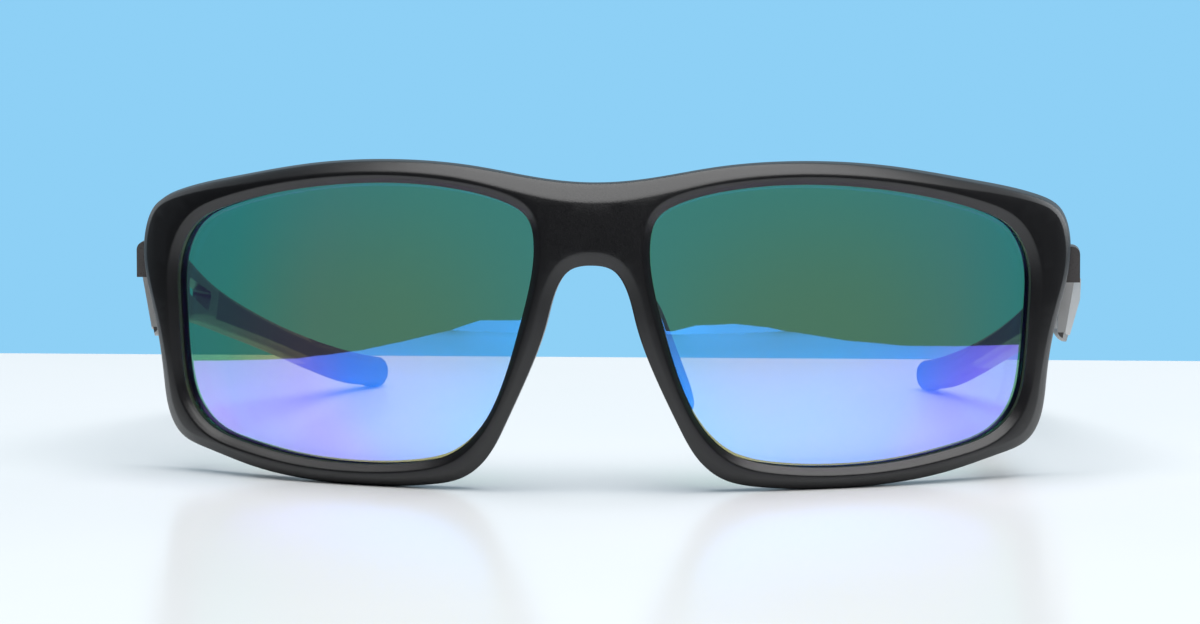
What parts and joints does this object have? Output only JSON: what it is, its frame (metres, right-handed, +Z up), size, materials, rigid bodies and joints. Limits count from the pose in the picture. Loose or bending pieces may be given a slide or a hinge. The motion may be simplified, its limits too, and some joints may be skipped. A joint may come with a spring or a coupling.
{
  "type": "wraparound sport glacier glasses",
  "caption": "Wraparound sport sunglasses with a moulded matte frame, curved mirrored lenses, rubber nose pads and folding temples with rubber grips.",
  "frame": {"origin": "middle of the footprint, on the surface that the rims and the temple tips rest on", "axes": "+Z up, -Y the way the lenses face, +X the wearer's left; the object is the same on both sides of X = 0"},
  "size_m": [0.145, 0.1378, 0.049],
  "materials": {
    "frame": "fine matte moulded black nylon",
    "lens": "polished tinted lens with a blue-violet mirror coating",
    "rubber": "soft matte black rubber",
    "trim": "satin grey plastic",
    "hinge_steel": "stamped stainless steel",
    "screw_steel": "turned stainless steel"
  },
  "bodies": {
    "front": {"front_frame": "frame", "left_lens": "lens", "right_lens": "lens", "left_nose_pad": "rubber", "right_nose_pad": "rubber", "left_front_hinge": "hinge_steel", "right_front_hinge": "hinge_steel", "left_hinge_screw": "screw_steel", "right_hinge_screw": "screw_steel"},
    "left_arm": {"left_temple": "frame", "left_temple_hinge": "hinge_steel", "left_temple_trim": "trim", "left_temple_grip": "rubber"},
    "right_arm": {"right_temple": "frame", "right_temple_hinge": "hinge_steel", "right_temple_trim": "trim", "right_temple_grip": "rubber"}
  },
  "joints": [
    {"name": "left_fold", "type": "hinge", "parent": "front", "child": "left_arm", "pos_m": [0.0672, -0.03368, 0.0273], "axis": [0, 0, 1], "range_deg": [0, 86]},
    {"name": "right_fold", "type": "hinge", "parent": "front", "child": "right_arm", "pos_m": [-0.0672, -0.03368, 0.0273], "axis": [0, 0, -1], "range_deg": [0, 79]}
  ]
}
